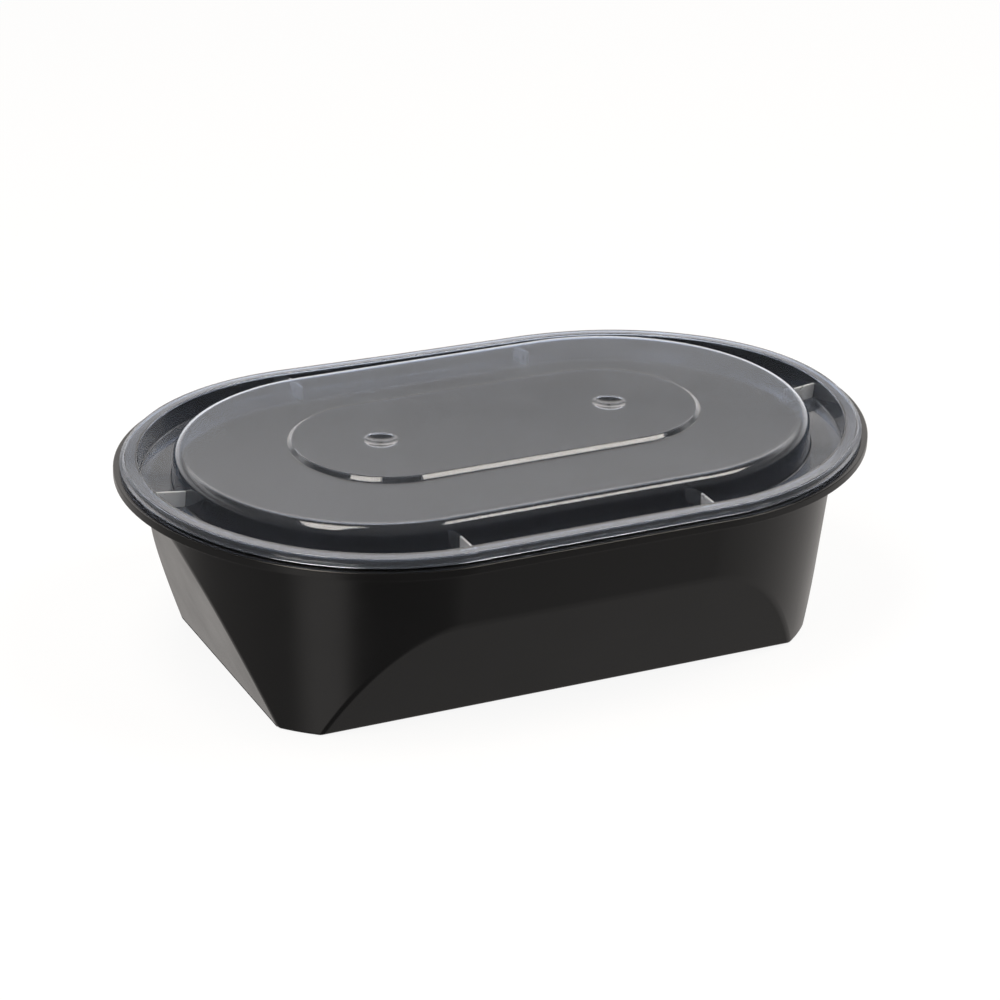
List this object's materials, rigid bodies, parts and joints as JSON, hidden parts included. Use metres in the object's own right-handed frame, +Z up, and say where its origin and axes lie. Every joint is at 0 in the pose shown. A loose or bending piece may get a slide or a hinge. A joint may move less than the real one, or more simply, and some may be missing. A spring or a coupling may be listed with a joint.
{
  "type": "takeaway meal container",
  "caption": "Shut oval takeaway meal container: a black plastic tub with tapered, faceted walls and a skirted rim, closed by a clear press-on lid with a raised dome and a gutter round it.",
  "frame": {"origin": "middle of the underside of the tub, on the table", "axes": "+X along the length, +Y towards the back long side, +Z up"},
  "size_m": [0.2264, 0.1484, 0.0651],
  "materials": {
    "black_plastic": "semi-gloss black polypropylene",
    "clear_plastic": "clear, slightly milky polypropylene"
  },
  "bodies": {
    "root": {"tub": "black_plastic", "lid": "clear_plastic"}
  },
  "joints": []
}
